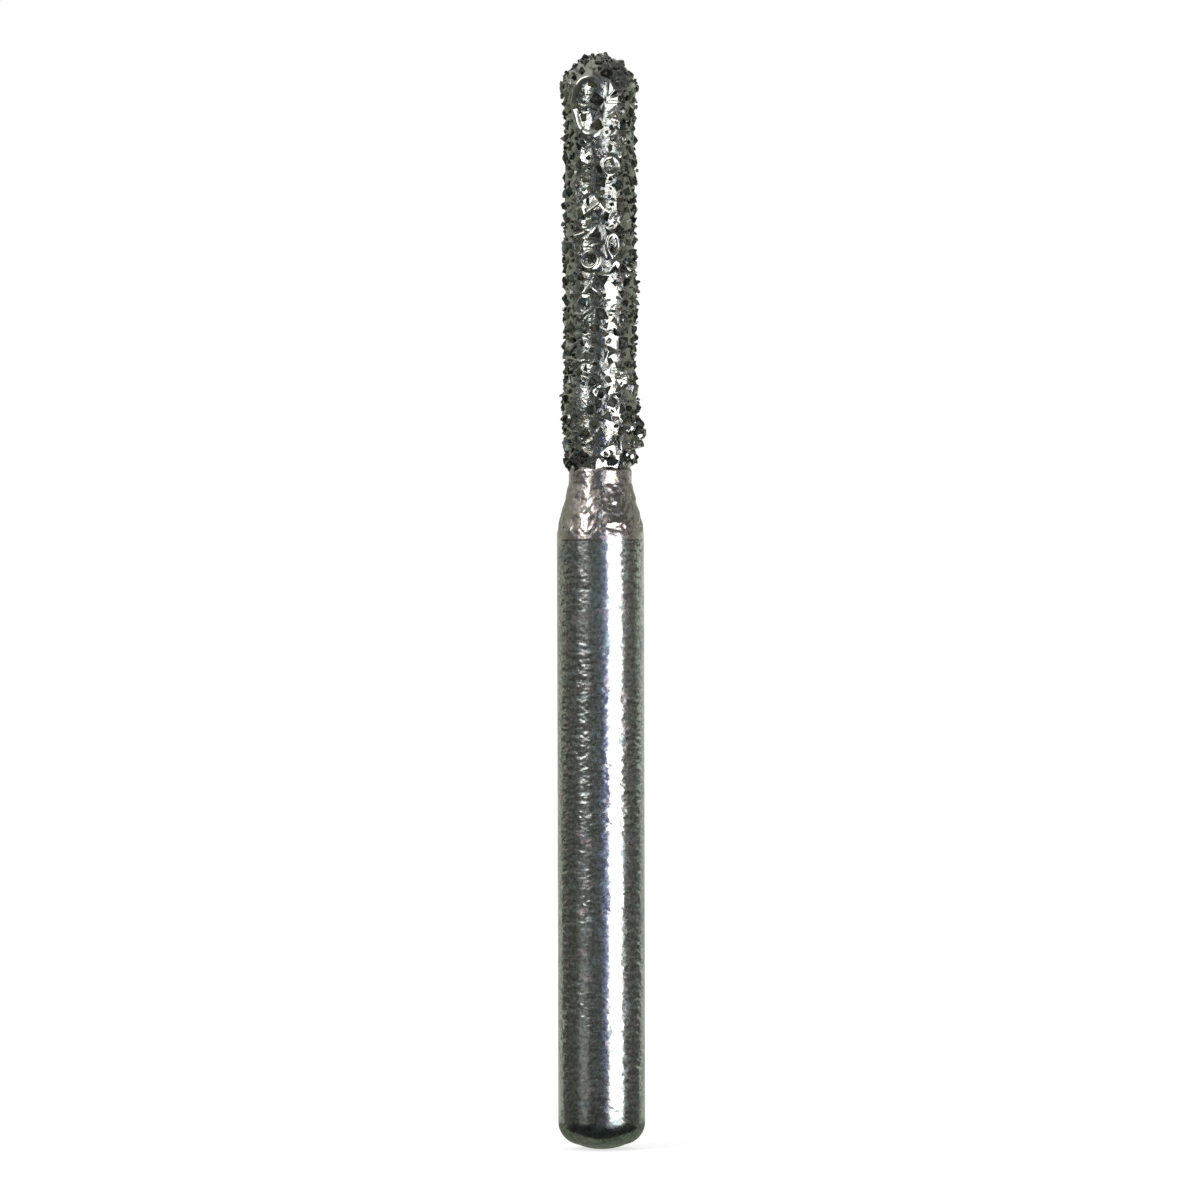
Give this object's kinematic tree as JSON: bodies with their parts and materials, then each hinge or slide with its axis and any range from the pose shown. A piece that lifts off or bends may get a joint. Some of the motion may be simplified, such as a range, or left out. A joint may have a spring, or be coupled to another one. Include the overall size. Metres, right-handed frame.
{
  "type": "dental bur",
  "caption": "Round-ended cylindrical diamond bur with a smooth friction grip shank, a conical neck and a coarse grit head.",
  "frame": {"origin": "middle of the shank's domed end, on the bur's axis", "axes": "+Z runs along the bur's axis from the shank's end to the head's round tip; +X points at the cluster of oversize grains"},
  "size_m": [0.0016, 0.0016, 0.0202],
  "materials": {
    "steel": "centreless ground stainless steel with fine marks round the shank",
    "nickel": "bright electroplated nickel, lumpy between the grains",
    "diamond": "sharp broken crystals, dark grey green with bright facets"
  },
  "bodies": {
    "root": {"steel_blank": "steel", "nickel_bond": "nickel", "diamond_grit": "diamond"}
  },
  "joints": []
}
